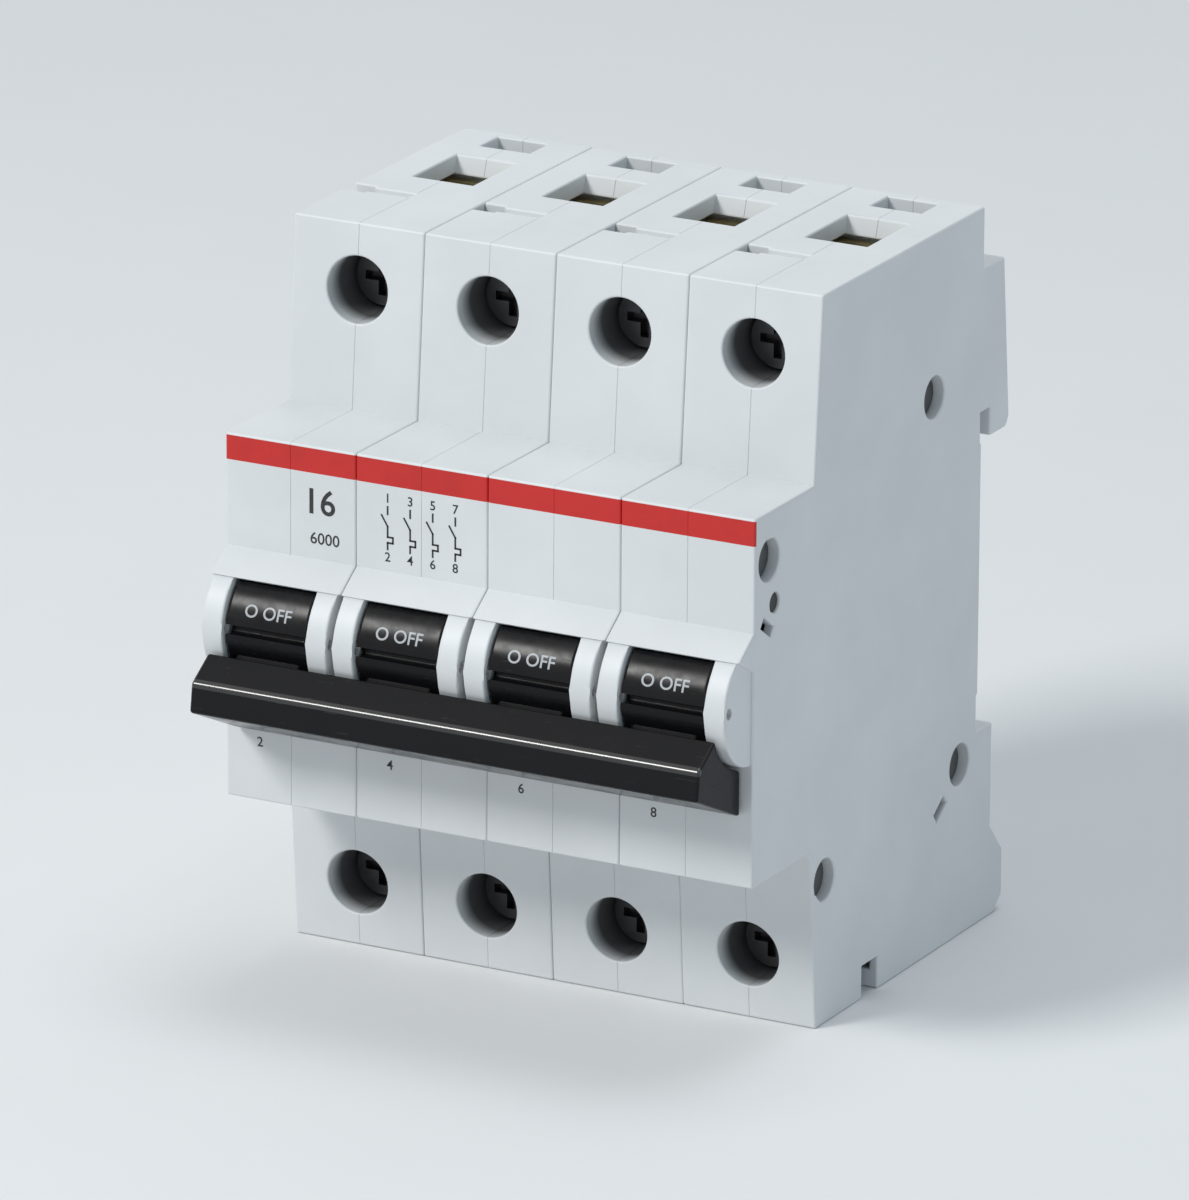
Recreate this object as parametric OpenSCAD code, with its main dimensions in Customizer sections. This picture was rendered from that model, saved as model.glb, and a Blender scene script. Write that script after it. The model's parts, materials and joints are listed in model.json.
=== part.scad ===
// Four-pole modular circuit breaker for a 35 mm rail.
// The origin is the middle of the rail seat: +Z is up, the toggles face -Y, and the rail is at +Y.
// Side view outlines are lists of [y, z].

/* [Case] */
// Width of one pole
pole_w = 17.5; // [17.3:0.1:18.5]
// Height of the case
case_h = 90; // [88:1:96]
// Depth from the rail seat to the face of the nose
nose_y = 58.5; // [58:0.5:62]
// Height of the nose
nose_h = 45; // [44:0.5:47]
// Depth of the terminal faces beside the nose
shoulder_y = 43.7; // [43.2:0.1:45]
// Depth of the terminal faces at the top and bottom ends
outer_y = 41.9; // [41.4:0.1:43]
// Thickness of the side walls
side_wall = 1.2; // [1:0.1:1.3]
// Thickness of the front, end and inner walls
wall = 1.4; // [1.2:0.1:1.6]

/* [Rail] */
// Height of the rail that the case sits on
rail_h = 35; // [34:0.5:36]
// Distance that hook and foot stand out behind the rail seat
hook_y = 7.3; // [6.5:0.1:7.4]
// Travel of the rail clips
clip_travel = 4.5; // [3:0.5:5]

/* [Toggles] */
// Radius of the toggle drums
drum_r = 7; // [6.6:0.1:7]
// Width of the opening between the ears of a pole
window_w = 11.2; // [10.8:0.1:11.6]
// Angle of the toggles from OFF to ON
toggle_angle = 72; // [60:1:74]
// Angle of the contact arms from open to closed
arm_angle = 22.5; // [18:0.5:23]

/* [Terminals] */
// Radius of the round screw access holes
access_r = 4.05; // [3.8:0.05:4.2]
// Radius of the terminal screw shanks
screw_r = 2.45; // [2.2:0.05:2.6]
// Travel of the lift cages
cage_travel = 6; // [5:0.5:6.5]
// Width of the conductor entries
entry_w = 8; // [7:0.5:8.4]

/* [Hidden] */
$fn = 64;

// Clearances: running fit of pins, gap of sliding flats, gap of moving parts, overlap of cuts
pin_fit = 0.05;
slide_gap = 0.1;
free_gap = 0.3;
cut = 1;

// Case
poles = 4;
half_w = pole_w / 2;
half_h = case_h / 2;
nose_z = nose_h / 2;
inner_w = half_w - side_wall;
wide_x = inner_w - slide_gap;
end_wall = 2.4;
back_wall = 1.8;
divider_z = half_h - 13.7;
notch_w = 2.9;
top_notch_y = [-outer_y + 11.6, -outer_y + 14.6];
foot_notch_y = [-outer_y + 12, -outer_y + 16];
case_colour = [0.86, 0.87, 0.88];

// Rail hook, rail seat and foot
seat_z = rail_h / 2 - 1.7;
seat_relief = 0.3;
rail_gap = 2.2;
hook_tip_z = rail_h / 2 - 1.5;
hook_bite = 3.5;
hook_root_z = half_h - 7.6;
foot_top_z = rail_h / 2 + 2.9;
foot_step_y = 4;
foot_slope_z = half_h - 11.3;
foot_z = half_h - 7.5;

// Toggles: pivot, ears, lintel, handle and tie bar
pivot_y = -(nose_y - 1);
ear_gap = 0.2;
ear_x = window_w / 2;
ear_r = drum_r + 0.6;
ear_relief = 0.4;
lip_r = drum_r + 0.85;
lip_angle = 52;
bar_r = drum_r + 1.15;
trunnion_r = 1.5;
handle_w = 8.6;
handle_angle = 38;
handle_t = 3.6;
handle_r = drum_r + 4.8;
crank_r = 3.6;
wire_r = 0.5;
link_x = -2.8;
seal_r = 0.65;
seal_at = [pivot_y - 6.4, 0.4];
bar_back_y = nose_y + 0.5;
bar_half_w = poles * half_w - 1.4;

// Contact arm: pin, length, width, and the lug that the link drives
link_l = 14;
arm_y = pivot_y + link_l;
arm_z = -7.6;
arm_r = crank_r * sin(toggle_angle / 2) / sin(arm_angle / 2);
arm_l = 18;
arm_half = 1.6;
arm_pin_r = 1.2;
arm_hub_r = 2.6;
arm_hub_x = 3;
button_r = 1.7;
button_h = 1.2;
button_u = arm_l - button_r;
lug_u = arm_r * cos(arm_angle / 2);
lug_v = arm_r * sin(arm_angle / 2);
crank_at = [pivot_y - crank_r * sin(toggle_angle / 2), crank_r * cos(toggle_angle / 2)];

// Solenoid behind the fixed contact
plate_t = 1.4;
fixed_y = arm_y + arm_half + 2 * button_h + pin_fit;
sol_z = 16.5;
yoke_y = fixed_y + plate_t;
yoke_l = 21.4;
yoke_top = sol_z + 7.9;
yoke_foot = sol_z - 11.3;
yoke_tail = sol_z - 7;
fixed_top = sol_z - 3.3;
bobbin_y = yoke_y + plate_t;
bobbin_l = yoke_l - 2 * plate_t;
bobbin_r = 2.7;
core_r = 2;
core_l = 11;
flange_r = 5;
flange_t = 0.8;
coil_wire_r = 0.9;
coil_turns = 7;
coil_steps = 18;
coil_sides = 6;
plunger_pin_r = 0.8;
plunger_travel = 4;
striker_gap = 0.6;
pin_front_y = yoke_y - 3.25;

// Trip shaft
trip_at = [pivot_y + 4.2, 11];
trip_r = 1.2;
trip_hub_r = 2;
lever_x = [3.4, 4.8];
lever_half = 0.9;
lever_knee = [pivot_y + 8.2, 6.8];
lever_foot = [pivot_y + 9.5, -4.5];
striker_y = pin_front_y - plunger_travel - striker_gap;
striker_half = 1.7;

// Terminals: the screw axes lie along Y
screw_z = half_h - 8.1;
head_r = access_r - 0.55;
head_y = -(outer_y - 5.6);
head_h = 2.8;
shelf_t = 1.3;
shelf_y = head_y + head_h;
chamber_y = shelf_y + shelf_t;
cage_x = 5.6;
cage_l = 10;
cage_front_t = 2.4;
cage_rear_t = 1.4;
cage_side_t = 1.2;
cage_d = 15.7;
cage_y = chamber_y + cage_travel + 0.2;
bar_y = cage_y + cage_front_t + 0.7;
screw_end_y = bar_y - 0.5;
chamber_end_y = cage_y + cage_d + 0.7;
bar_half = 4;
cage_z = [screw_z - cage_l / 2, screw_z + cage_l / 2];

// Bimetal and lower current path
run_z = -(nose_z - wall - 1.9);
bimetal_y = lever_foot[0] - lever_half - 1.3;
bimetal_t = 0.8;
bimetal_x = [-0.5, 4.8];
run_front_y = bimetal_y - 0.7;
calibration_y = bimetal_y + 4;
calibration_r = 1;

// Arc chute
chute_y = [-30, -8];
chute_z = [run_z + 1.4, 1.6];
chute_plates = 11;
chute_plate_t = 0.9;
cheek_t = 0.65;
runner_half = 3;
runner_t = 1;

// Rail clip, in the channel of the foot
channel_y = [0.6, 3.2];
clip_x = 3.6;
clip_end_z = -(half_h - 0.4);
clip_slot_x = 1.6;
peg_x = 1.2;
peg_h = 2;
peg_gap = 0.2;
spring_r = 1.1;
spring_pressed = 3.5;
clip_slot_z = [clip_end_z + 7.4, clip_end_z + 7.4 + peg_gap + peg_h + clip_travel + spring_pressed];

// Rivets: places in side view
rivet_at = [[-(nose_y - 3.7), 16.6], [-12.7, 24.8], [-4.6, -23.3], [-39.9, -27]];
rivet_r = 1.6;
rivet_head_r = 2.3;
rivet_head_t = 0.8;
pocket_r = 2.6;
pocket_t = 2.2;
boss_r = 3.4;

// Slots through the side walls: place in side view and tilt, and their length and width
vent_at = [[trip_at[0] - 1.8, trip_at[1] - 2.5, -35], [-9.6, -27.4, 35]];
vent_size = [3, 1.3];

// Makes a side view outline solid from x0 to x1.
module side(x0, x1) {
    translate([x0, 0, 0]) rotate([90, 0, 90]) linear_extrude(x1 - x0) children();
}

// A cylinder along X at a point of the side view.
module pin_x(at, r, x0, x1) {
    translate([x0, at[0], at[1]]) rotate([0, 90, 0]) cylinder(r = r, h = x1 - x0);
}

// A cylinder along Y.
module rod_y(x, z, r, y0, y1) {
    translate([x, y0, z]) rotate([-90, 0, 0]) cylinder(r = r, h = y1 - y0);
}

// A box from its limits.
module block(x, y, z) {
    translate([x[0], y[0], z[0]]) cube([x[1] - x[0], y[1] - y[0], z[1] - z[0]]);
}

// Moves to the middle of a pole, 1 to 4.
module at_pole(i) {
    translate([(i - (poles + 1) / 2) * pole_w, 0, 0]) children();
}

// Repeats at every pole.
module each_pole() {
    for (i = [1 : poles]) at_pole(i) children();
}

// Turns about the toggle pivot, positive lifts the handle.
module about_pivot(angle) {
    translate([0, pivot_y, 0]) rotate([-angle, 0, 0]) children();
}

function case_outline() = [
    [-outer_y, half_h], [0, half_h], [0, hook_root_z],
    [hook_y - 1.8, hook_root_z], [hook_y, hook_tip_z + 1.2], [hook_y - 0.8, hook_tip_z],
    [rail_gap, hook_tip_z], [rail_gap, hook_tip_z + hook_bite],
    [-seat_relief, hook_tip_z + hook_bite], [-seat_relief, seat_z],
    [0, seat_z], [0, -seat_z], [-seat_relief, -seat_z], [-seat_relief, -foot_top_z],
    [foot_step_y, -foot_top_z], [foot_step_y, -foot_slope_z], [hook_y, -foot_z],
    [hook_y, -half_h + 1.8], [hook_y - 2.1, -half_h],
    [-outer_y, -half_h], [-shoulder_y, -nose_z], [-nose_y, -nose_z],
    [-nose_y, nose_z], [-shoulder_y, nose_z]];

// Lip over the windows, in side view.
function lintel_outline() = [
    [-nose_y, 8.7],
    [pivot_y - lip_r * cos(lip_angle), lip_r * sin(lip_angle)],
    [-nose_y, 4]];

// Hollow for the mechanism, in side view.
function mechanism_outline() = [
    [-nose_y + wall, -nose_z + wall], [-shoulder_y + 2.2, -nose_z + wall],
    [-shoulder_y + 2.2, -divider_z + wall], [-back_wall, -divider_z + wall],
    [-back_wall, divider_z - wall], [-shoulder_y + 2.2, divider_z - wall],
    [-shoulder_y + 2.2, nose_z - wall], [-nose_y + wall, nose_z - wall]];

// Hollow for one terminal, up is 1 at the top and -1 at the bottom.
module terminal_hollow(up) {
    z0 = up > 0 ? divider_z : -half_h + end_wall;
    z1 = up > 0 ? half_h - end_wall : -divider_z;
    block([-cut, inner_w], [chamber_y, chamber_end_y], [z0, z1]);
}

// Access hole, conductor entry and bar slot of one terminal.
module terminal_cuts(up) {
    rod_y(0, up * screw_z, access_r, -nose_y, shelf_y);
    rod_y(0, up * screw_z, screw_r + 0.15, shelf_y - cut, chamber_y + cut);
    mirror([0, 0, up > 0 ? 0 : 1]) {
        side(-cut, entry_w / 2) polygon([
            [bar_y + plate_t - 0.1, half_h - end_wall - 0.5], [bar_y + plate_t - 0.1, half_h + 0.1],
            [chamber_end_y - 1, half_h + 0.1], [chamber_end_y - 2, half_h - end_wall - 0.5]]);
        block([-cut, bar_half + slide_gap], [bar_y - slide_gap, bar_y + plate_t + slide_gap],
            [divider_z - wall - cut, divider_z + cut]);
        block([-cut, 3.3], [-6.2, -1.6], [half_h - 8, half_h + cut]);
    }
}

// Bearing cheek of the toggle, rivet bosses and pin bosses, from the side wall to the seam.
module bosses() {
    pin_x([pivot_y, 0], ear_r, ear_x, half_w - ear_relief);
    intersection() {
        for (at = rivet_at) pin_x(at, boss_r, 0, half_w);
        side(0, half_w) polygon(case_outline());
    }
    pin_x([arm_y, arm_z], arm_pin_r + 1.2, inner_w - 2.4, half_w);
    pin_x(trip_at, trip_r + 0.9, inner_w - 1.4, half_w);
}

// Peg that the clip spring stands on, across the channel of the foot.
module spring_peg() {
    block([0, peg_x], [channel_y[0] - cut, channel_y[1] + cut],
        [clip_slot_z[0] + peg_gap, clip_slot_z[0] + peg_gap + peg_h]);
}

// Holes that lie along X through the side wall.
module side_holes() {
    for (at = rivet_at) {
        pin_x(at, rivet_r + pin_fit, -cut, half_w + cut);
        pin_x(at, pocket_r, half_w - pocket_t, half_w + cut);
    }
    pin_x([pivot_y, 0], trunnion_r + pin_fit, ear_x - cut, inner_w);
    pin_x([arm_y, arm_z], arm_pin_r + pin_fit, 0, inner_w);
    pin_x(trip_at, trip_r + pin_fit, 0, half_w + cut);
    pin_x(seal_at, seal_r, ear_x - cut, half_w + cut);
    for (at = vent_at)
        translate([half_w, at[0], at[1]]) rotate([at[2], 0, 0])
            cube([2 * side_wall + 0.8, vent_size[0], vent_size[1]], center = true);
}

// One half shell of a pole: hand is -1 on the left and 1 on the right.
module half_case(hand) {
    mirror([hand < 0 ? 1 : 0, 0, 0]) difference() {
        union() {
            difference() {
                union() {
                    side(0, half_w) polygon(case_outline());
                    side(0, half_w) polygon(lintel_outline());
                }
                side(-cut, inner_w) polygon(mechanism_outline());
                terminal_hollow(1);
                terminal_hollow(-1);
                block([-cut, clip_x + slide_gap], channel_y, [-half_h - cut, -foot_top_z + cut]);
            }
            bosses();
            spring_peg();
        }
        pin_x([pivot_y, 0], drum_r + free_gap, -cut, ear_x);
        side_holes();
        terminal_cuts(1);
        terminal_cuts(-1);
        edge_notch(hand);
    }
}

// Notch at the outer edge of an end face: top of a left half, bottom of a right half.
module edge_notch(hand) {
    if (hand < 0) {
        block([half_w - notch_w, half_w + cut], top_notch_y, [half_h - 3, half_h + cut]);
        block([0, half_w], [top_notch_y[0] + 0.6, top_notch_y[1] - 0.6], [half_h - 0.8, half_h + cut]);
    } else {
        block([half_w - notch_w, half_w + cut], foot_notch_y, [-half_h - cut, -half_h + 4]);
    }
}

module case_half_at(i, hand) {
    color(case_colour) at_pole(i) half_case(hand);
}

// Drum with trunnions and handle. A slot in the drum clears the wire link through the whole swing.
module toggle(i) {
    drum_half = ear_x - ear_gap;
    color([0.05, 0.05, 0.06]) at_pole(i) difference() {
        union() {
            pin_x([pivot_y, 0], drum_r, -drum_half, drum_half);
            pin_x([pivot_y, 0], trunnion_r, -wide_x, wide_x);
            handle_block(handle_w / 2);
        }
        pin_x(crank_at, wire_r, link_x - 0.7, 1.6);
        side(link_x - 0.7, link_x + 0.7) link_slot();
        difference() {
            pin_x([pivot_y, 0], trunnion_r + 1.2, drum_half - 2.7, drum_half + cut);
            pin_x([pivot_y, 0], trunnion_r, drum_half - 4, drum_half + 2 * cut);
        }
        pin_x(seal_at, seal_r + 0.15, -drum_half - cut, drum_half + cut);
    }
}

// Slot that the link sweeps in the drum, in side view.
module link_slot() {
    reach = 3 * drum_r;
    translate(crank_at) polygon([
        [-0.9, -0.6], [0, -0.9], [reach, -0.9], [reach * cos(45), reach * sin(45)],
        [reach * cos(toggle_angle) - 0.9, reach * sin(toggle_angle)]]);
}

// Handle from the drum out into the tie bar.
module handle_block(half) {
    about_pivot(-handle_angle)
        block([-half, half], [-handle_r, -drum_r + 1.4], [-handle_t / 2, handle_t / 2]);
}

function polar(r, angle) = [pivot_y - r * cos(angle), -r * sin(angle)];

// Bar in front of all four handles. Its inner face is round about the pivot and clears the ears.
module tie_bar() {
    color([0.04, 0.04, 0.05]) difference() {
        side(-bar_half_w, bar_half_w) polygon([
            polar(drum_r, 16), polar(drum_r + 5.85, 23.4), polar(drum_r + 8.05, 35.3),
            [-bar_back_y, -drum_r - 6.6], [-bar_back_y, -4]]);
        pin_x([pivot_y, 0], bar_r, -bar_half_w - cut, bar_half_w + cut);
        each_pole() handle_block(handle_w / 2);
    }
}

// Coil part of the toggle return springs, round the right trunnions.
module toggle_springs() {
    drum_half = ear_x - ear_gap;
    color("silver") each_pole() difference() {
        pin_x([pivot_y, 0], trunnion_r + 1, drum_half - 2.7, drum_half - 0.3);
        pin_x([pivot_y, 0], trunnion_r + 0.1, drum_half - 3, drum_half);
    }
}

// U-shaped wires from the drums to the contact arms.
module toggle_links() {
    color("silver") each_pole() {
        rod_y(link_x, crank_at[1], wire_r, crank_at[0] - wire_r, crank_at[0] + link_l + wire_r);
        for (y = [crank_at[0], crank_at[0] + link_l])
            pin_x([y, crank_at[1]], wire_r - pin_fit, link_x, 1.4);
    }
}

// Contact arm at rest, leaning away from the fixed contact. u is up along the arm.
module contact_arm(i) {
    color([0.80, 0.50, 0.30]) at_pole(i) translate([0, arm_y, arm_z]) rotate([arm_angle, 0, 0])
        difference() {
            union() {
                pin_x([0, 0], arm_hub_r, -arm_hub_x, arm_hub_x);
                side(-1, 1) polygon([
                    [-2.2, 0], [2.2, 0], [lug_v + 1.5, lug_u - 1.3], [lug_v + 1.5, lug_u + 1.5],
                    [arm_half, lug_u + 3], [arm_half, arm_l], [-arm_half, arm_l],
                    [-arm_half, lug_u + 2]]);
                rod_y(0, button_u, button_r, arm_half - 0.4, arm_half + button_h);
            }
            pin_x([0, 0], arm_pin_r + pin_fit, -arm_hub_x - cut, arm_hub_x + cut);
            side(-2, 2) translate([lug_v, lug_u]) {
                translate([0, -0.2]) circle(wire_r + 0.22);
                translate([-wire_r - 0.2, -0.2]) square([2 * wire_r + 0.4, 0.6]);
                translate([0, 0.4]) circle(wire_r + 0.22);
            }
        }
}

module contact_pins() {
    color("silver") each_pole() pin_x([arm_y, arm_z], arm_pin_r, -wide_x, wide_x);
}

// Coil part of the contact springs, on the arm pins.
module contact_springs() {
    color("silver") each_pole() difference() {
        pin_x([arm_y, arm_z], arm_pin_r + 0.8, -inner_w + 2.6, -arm_hub_x - slide_gap);
        pin_x([arm_y, arm_z], arm_pin_r + 0.1, -inner_w, -arm_hub_x);
    }
}

// Braids from the bimetal strips to the contact arms.
module contact_braids() {
    bend = 2.4;
    r = 0.7;
    z = arm_z - arm_hub_r - bend - 1.9;
    color([0.72, 0.42, 0.25]) each_pole() translate([2, 0, 0]) {
        rod_y(0, z, r, bimetal_y + bimetal_t, arm_y - bend);
        translate([0, arm_y - bend, z + bend]) rotate([0, 90, 0])
            rotate_extrude(angle = 90) translate([bend, 0]) circle(r);
        translate([0, arm_y, z + bend]) cylinder(r = r, h = 1.7);
    }
}

// Plate and button in front of the solenoid yoke.
module fixed_contacts() {
    color([0.80, 0.50, 0.30]) each_pole() {
        block([-bar_half, bar_half], [fixed_y, yoke_y], [yoke_foot, fixed_top]);
        rod_y(0, arm_z + button_u, button_r, fixed_y - button_h, fixed_y);
    }
}

// Steel frame round the coil, in side view a C that is open below.
module solenoid_yokes() {
    color([0.62, 0.64, 0.66]) each_pole() difference() {
        side(-wide_x, wide_x) polygon([
            [yoke_y, yoke_foot], [yoke_y, yoke_top], [yoke_y + yoke_l, yoke_top],
            [yoke_y + yoke_l, yoke_tail], [bobbin_y + bobbin_l, yoke_tail],
            [bobbin_y + bobbin_l, yoke_top - plate_t], [bobbin_y, yoke_top - plate_t],
            [bobbin_y, yoke_foot]]);
        rod_y(0, sol_z, plunger_pin_r + 0.5, yoke_y - cut, bobbin_y + cut);
    }
}

module solenoid_bobbins() {
    color([0.15, 0.15, 0.16]) each_pole() difference() {
        union() {
            rod_y(0, sol_z, bobbin_r, bobbin_y, bobbin_y + bobbin_l);
            rod_y(0, sol_z, flange_r, bobbin_y, bobbin_y + flange_t);
            rod_y(0, sol_z, flange_r, bobbin_y + bobbin_l - flange_t, bobbin_y + bobbin_l);
        }
        rod_y(0, sol_z, core_r + pin_fit, bobbin_y - cut, bobbin_y + bobbin_l + cut);
    }
}

// Iron core in the bobbin, with the thin pin that strikes the trip lever.
module plunger(i) {
    core_y = bobbin_y + bobbin_l - core_l - 0.6;
    color("gray") at_pole(i) {
        rod_y(0, sol_z, core_r, core_y, core_y + core_l);
        rod_y(0, sol_z, plunger_pin_r, pin_front_y, core_y);
    }
}

// Points of one ring of the winding: a circle of wire round the helix at step k.
function coil_ring(k, r, pitch) = [
    for (s = [0 : coil_sides - 1])
        let (turn = 360 * k / coil_steps, a = 360 * s / coil_sides, q = r + coil_wire_r * cos(a))
            [q * cos(turn), pitch * k / coil_steps + coil_wire_r * sin(a), q * sin(turn)]];

// One unbroken winding on each bobbin.
module winding(r, pitch) {
    rings = coil_turns * coil_steps;
    points = [for (k = [0 : rings]) each coil_ring(k, r, pitch)];
    sides = [
        for (k = [0 : rings - 1], s = [0 : coil_sides - 1])
            let (a = k * coil_sides + s, b = k * coil_sides + (s + 1) % coil_sides)
                [a, b, b + coil_sides, a + coil_sides]];
    first = [for (s = [coil_sides - 1 : -1 : 0]) s];
    last = [for (s = [0 : coil_sides - 1]) rings * coil_sides + s];
    polyhedron(points = points, faces = concat([first, last], sides));
}

module solenoid_coils() {
    space = bobbin_l - 2 * flange_t - 2 * coil_wire_r - 0.4;
    color([0.78, 0.40, 0.20]) each_pole()
        translate([0, bobbin_y + flange_t + coil_wire_r + 0.2, sol_z])
            winding(bobbin_r + coil_wire_r + 0.1, space / coil_turns);
}

// Rod through all poles with a lever in each: a striker plate above and a long arm down to the bimetal.
module trip_shaft() {
    color([0.30, 0.30, 0.32]) {
        pin_x(trip_at, trip_r, -poles * half_w + 0.4, poles * half_w - 0.4);
        each_pole() {
            pin_x(trip_at, trip_hub_r, lever_x[0], lever_x[1]);
            side(lever_x[0], lever_x[1]) polygon([
                [trip_at[0] - 0.4, trip_at[1] - 1.2], [trip_at[0] + 1.3, trip_at[1] + 0.6],
                [lever_knee[0] + lever_half, lever_knee[1] + 0.6],
                [lever_foot[0] + lever_half, lever_foot[1]],
                [lever_foot[0] - lever_half, lever_foot[1]],
                [lever_knee[0] - lever_half, lever_knee[1]]]);
            side(lever_x[0], lever_x[1]) polygon([
                [trip_at[0] - 0.5, trip_at[1] + 1.4], [trip_at[0] + 1.4, trip_at[1] - 0.8],
                [striker_y, sol_z - striker_half], [striker_y, sol_z + striker_half],
                [striker_y - plate_t, sol_z + striker_half]]);
            block([-1.5, lever_x[1]], [striker_y - plate_t, striker_y],
                [sol_z - striker_half, sol_z + striker_half]);
        }
    }
}

module bimetal_strips() {
    color([0.70, 0.68, 0.62]) each_pole()
        block(bimetal_x, [bimetal_y, bimetal_y + bimetal_t], [run_z, lever_foot[1] + 1.5]);
}

// Screws in the front ends of the lower bars, with their heads on the floor of the nose.
module calibration_screws() {
    floor_z = -nose_z + wall;
    color([0.75, 0.62, 0.30]) each_pole() translate([0, calibration_y, floor_z]) {
        cylinder(r = calibration_r + 0.7, h = run_z - plate_t - floor_z);
        cylinder(r = calibration_r, h = run_z - floor_z + 1.2);
    }
}

// Steel plates with a notch at the front, stacked one above the other.
module arc_chute_plates() {
    x = wide_x - cheek_t;
    step = (chute_z[1] - chute_z[0] - 1.2 - chute_plate_t) / (chute_plates - 1);
    color([0.60, 0.61, 0.63]) each_pole() for (k = [0 : chute_plates - 1])
        translate([0, 0, chute_z[0] + 0.6 + k * step]) linear_extrude(chute_plate_t) polygon([
            [-x, chute_y[0]], [-x, chute_y[1]], [x, chute_y[1]], [x, chute_y[0]],
            [x - 2.8, chute_y[0]], [1, chute_y[0] + 8], [-1, chute_y[0] + 8],
            [-x + 2.8, chute_y[0]]]);
}

module arc_chute_cheeks() {
    color([0.82, 0.80, 0.74]) each_pole() for (hand = [0, 1]) mirror([hand, 0, 0])
        block([wide_x - cheek_t, wide_x], chute_y, chute_z);
}

// Strips that lead the arc from the contacts back along the chute, above and below its plates.
module arc_runners() {
    color([0.80, 0.50, 0.30]) each_pole() {
        block([-runner_half, runner_half], [fixed_y, chute_y[1] - 1], [yoke_foot - runner_t, yoke_foot]);
        block([-runner_half, runner_half], [arm_y + 5.5, chute_y[1] - 1], [run_z, run_z + runner_t]);
    }
}

// Upper bars, from inside the cages down to the coils.
module top_terminal_bars() {
    color([0.82, 0.60, 0.38]) each_pole()
        block([-bar_half, bar_half], [bar_y, bar_y + plate_t],
            [yoke_top, cage_z[1] + 0.5]);
}

// Lower bars, from inside the cages up and forward to the bimetal strips.
module bottom_terminal_bars() {
    color([0.82, 0.60, 0.38]) each_pole() difference() {
        side(-bar_half, bar_half) polygon([
            [bar_y, -cage_z[1] - 0.5], [bar_y + plate_t, -cage_z[1] - 0.5],
            [bar_y + plate_t, run_z], [run_front_y, run_z], [run_front_y, run_z - plate_t],
            [bar_y, run_z - plate_t]]);
        translate([0, calibration_y, run_z - plate_t - cut])
            cylinder(r = calibration_r + pin_fit, h = plate_t + 2 * cut);
    }
}

// Screw with a cross recess in its head. up is 1 at the top and -1 at the bottom.
module terminal_screw(i, up) {
    recess = [4.6, 1.1];
    color([0.78, 0.79, 0.80]) at_pole(i) difference() {
        union() {
            rod_y(0, up * screw_z, head_r, head_y, shelf_y);
            rod_y(0, up * screw_z, screw_r, shelf_y, screw_end_y);
        }
        translate([0, head_y, up * screw_z]) {
            cube([recess[0], 3, recess[1]], center = true);
            cube([recess[1], 3, recess[0]], center = true);
        }
    }
}

// Box that the screw draws forward, to clamp the conductor against the bar.
module lift_cage(i, up) {
    color([0.85, 0.80, 0.62]) at_pole(i) mirror([0, 0, up > 0 ? 0 : 1]) difference() {
        block([-cage_x, cage_x], [cage_y, cage_y + cage_d], cage_z);
        block([-cage_x + cage_side_t, cage_x - cage_side_t],
            [cage_y + cage_front_t, cage_y + cage_d - cage_rear_t], [cage_z[0] - cut, cage_z[1] + cut]);
        rod_y(0, screw_z, screw_r + pin_fit, cage_y - cut, cage_y + cage_front_t + cut);
    }
}

// Slide in the foot. Its tongue grips behind the lower lip of the rail.
module rail_clip(i) {
    tongue_z = -rail_h / 2 + 1.3;
    color([0.30, 0.31, 0.33]) at_pole(i) difference() {
        side(-clip_x, clip_x) polygon([
            [channel_y[0] + slide_gap, clip_end_z], [channel_y[1] - slide_gap, clip_end_z],
            [channel_y[1] - slide_gap, tongue_z], [channel_y[1] - 1.2, tongue_z],
            [channel_y[1] - 1.8, tongue_z - 1], [channel_y[1] - 1.8, -foot_top_z - 0.6],
            [channel_y[0] + slide_gap, -foot_top_z - 1.4]]);
        block([-clip_slot_x, clip_slot_x], [0, channel_y[1] + cut], clip_slot_z);
        block([-2, 2], [0, channel_y[1] + cut], [clip_end_z + 1.6, clip_end_z + 4]);
    }
}

// Springs between the pegs of the shells and the upper ends of the clips' slots.
module clip_springs() {
    color("silver") each_pole() translate([0, (channel_y[0] + channel_y[1]) / 2, 0])
        translate([0, 0, clip_slot_z[0] + peg_gap + peg_h])
            cylinder(r = spring_r, h = clip_travel + spring_pressed);
}

// Long rivets through the four poles.
module case_rivets() {
    end = poles * half_w - pocket_t;
    color([0.45, 0.46, 0.48]) for (at = rivet_at) {
        pin_x(at, rivet_r, -end, end);
        for (hand = [0, 1]) mirror([hand, 0, 0])
            pin_x(at, rivet_head_r, end, end + rivet_head_t);
    }
}

case_half_at(1, -1);  // pole_1_left_case
case_half_at(1, 1);  // pole_1_right_case
case_half_at(2, -1);  // pole_2_left_case
case_half_at(2, 1);  // pole_2_right_case
case_half_at(3, -1);  // pole_3_left_case
case_half_at(3, 1);  // pole_3_right_case
case_half_at(4, -1);  // pole_4_left_case
case_half_at(4, 1);  // pole_4_right_case
toggle(1);  // toggle_1
toggle(2);  // toggle_2
toggle(3);  // toggle_3
toggle(4);  // toggle_4
tie_bar();
toggle_springs();
toggle_links();
contact_arm(1);  // contact_arm_1
contact_arm(2);  // contact_arm_2
contact_arm(3);  // contact_arm_3
contact_arm(4);  // contact_arm_4
contact_pins();
contact_springs();
contact_braids();
fixed_contacts();
plunger(1);  // plunger_1
plunger(2);  // plunger_2
plunger(3);  // plunger_3
plunger(4);  // plunger_4
solenoid_coils();
solenoid_bobbins();
solenoid_yokes();
trip_shaft();
bimetal_strips();
calibration_screws();
arc_chute_plates();
arc_chute_cheeks();
arc_runners();
top_terminal_bars();
bottom_terminal_bars();
terminal_screw(1, 1);  // top_screw_1
terminal_screw(2, 1);  // top_screw_2
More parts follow.
